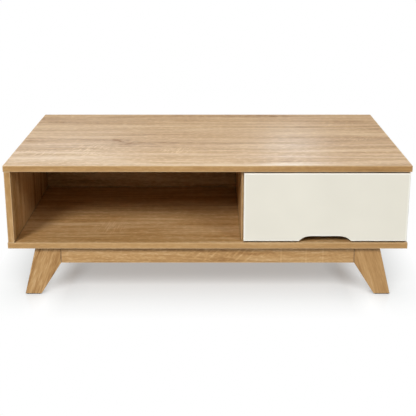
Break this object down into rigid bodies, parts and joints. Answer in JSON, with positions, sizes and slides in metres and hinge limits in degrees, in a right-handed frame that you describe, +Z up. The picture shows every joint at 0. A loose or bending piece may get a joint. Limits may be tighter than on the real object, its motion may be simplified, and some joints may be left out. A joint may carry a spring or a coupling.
{
  "type": "coffee table",
  "caption": "Low wood-effect coffee table with an open bay beside a pale drawer that has a finger cut-out, standing on a base of splayed legs and rails.",
  "frame": {"origin": "bottom centre of the bounding box: on the floor under the middle of the table", "axes": "+X along the length towards the drawer end, +Y towards the back, +Z up; the drawer opens towards -Y"},
  "size_m": [1.15, 0.65, 0.4],
  "materials": {
    "oak_board": "satin oak-effect foil on particle board",
    "oak_base": "satin oak-effect foil",
    "lacquered_front": "silk-matt cream lacquer on fibreboard",
    "drawer_board": "matt white foil on particle board",
    "base_board": "white painted hardboard",
    "beech_dowel": "raw beech",
    "zinc_plated_steel": "bright zinc plating",
    "die_cast_zinc": "die-cast, dull",
    "runner_steel": "white epoxy coating",
    "nylon_roller": "moulded nylon",
    "glide_plastic": "black moulded plastic",
    "cover_plastic": "moulded cover in the colour of the board",
    "bumper_rubber": "soft translucent pad"
  },
  "bodies": {
    "carcass": {"top_panel": "oak_board", "bottom_panel": "oak_board", "left_side_panel": "oak_board", "right_side_panel": "oak_board", "divider_panel": "oak_board", "back_panel": "oak_board", "front_left_leg": "oak_base", "front_right_leg": "oak_base", "rear_left_leg": "oak_base", "rear_right_leg": "oak_base", "front_rail": "oak_base", "rear_rail": "oak_base", "left_side_rail": "oak_base", "right_side_rail": "oak_base", "frame_dowels": "beech_dowel", "carcass_dowels": "beech_dowel", "base_brackets": "zinc_plated_steel", "base_bracket_screws": "zinc_plated_steel", "connector_screws": "zinc_plated_steel", "cam_bolts": "zinc_plated_steel", "runner_screws": "zinc_plated_steel", "roller_rivets": "zinc_plated_steel", "cam_discs": "die_cast_zinc", "left_runner": "runner_steel", "right_runner": "runner_steel", "foot_glides": "glide_plastic", "cam_covers": "cover_plastic"},
    "drawer": {"drawer_front": "lacquered_front", "drawer_left_side": "drawer_board", "drawer_right_side": "drawer_board", "drawer_back": "drawer_board", "drawer_base": "base_board", "drawer_dowels": "beech_dowel", "drawer_cam_bolts": "zinc_plated_steel", "drawer_screws": "zinc_plated_steel", "drawer_runner_screws": "zinc_plated_steel", "drawer_roller_rivets": "zinc_plated_steel", "drawer_cam_discs": "die_cast_zinc", "drawer_left_runner": "runner_steel", "drawer_right_runner": "runner_steel", "drawer_bumpers": "bumper_rubber"},
    "front_left_roller": {"front_left_roller": "nylon_roller"},
    "front_right_roller": {"front_right_roller": "nylon_roller"},
    "rear_left_roller": {"rear_left_roller": "nylon_roller"},
    "rear_right_roller": {"rear_right_roller": "nylon_roller"}
  },
  "joints": [
    {"name": "drawer_slide", "type": "slide", "parent": "carcass", "child": "drawer", "axis": [0, -1, 0], "range_m": [0, 0.34]},
    {"name": "front_left_roller_spin", "type": "hinge", "parent": "carcass", "child": "front_left_roller", "pos_m": [0.1208, -0.285, 0.1965], "axis": [1, 0, 0], "range_deg": [0, 1950]},
    {"name": "front_right_roller_spin", "type": "hinge", "parent": "carcass", "child": "front_right_roller", "pos_m": [0.5492, -0.285, 0.1965], "axis": [1, 0, 0], "range_deg": [0, 1950]},
    {"name": "rear_left_roller_spin", "type": "hinge", "parent": "drawer", "child": "rear_left_roller", "pos_m": [0.1217, 0.129, 0.1965], "axis": [1, 0, 0], "range_deg": [0, 1950]},
    {"name": "rear_right_roller_spin", "type": "hinge", "parent": "drawer", "child": "rear_right_roller", "pos_m": [0.5483, 0.129, 0.1965], "axis": [1, 0, 0], "range_deg": [0, 1950]}
  ],
  "couplings": [
    {"joint": "front_left_roller_spin", "follows": "drawer_slide", "rad_per_m": 100},
    {"joint": "front_right_roller_spin", "follows": "drawer_slide", "rad_per_m": 100},
    {"joint": "rear_left_roller_spin", "follows": "drawer_slide", "rad_per_m": 100},
    {"joint": "rear_right_roller_spin", "follows": "drawer_slide", "rad_per_m": 100}
  ]
}
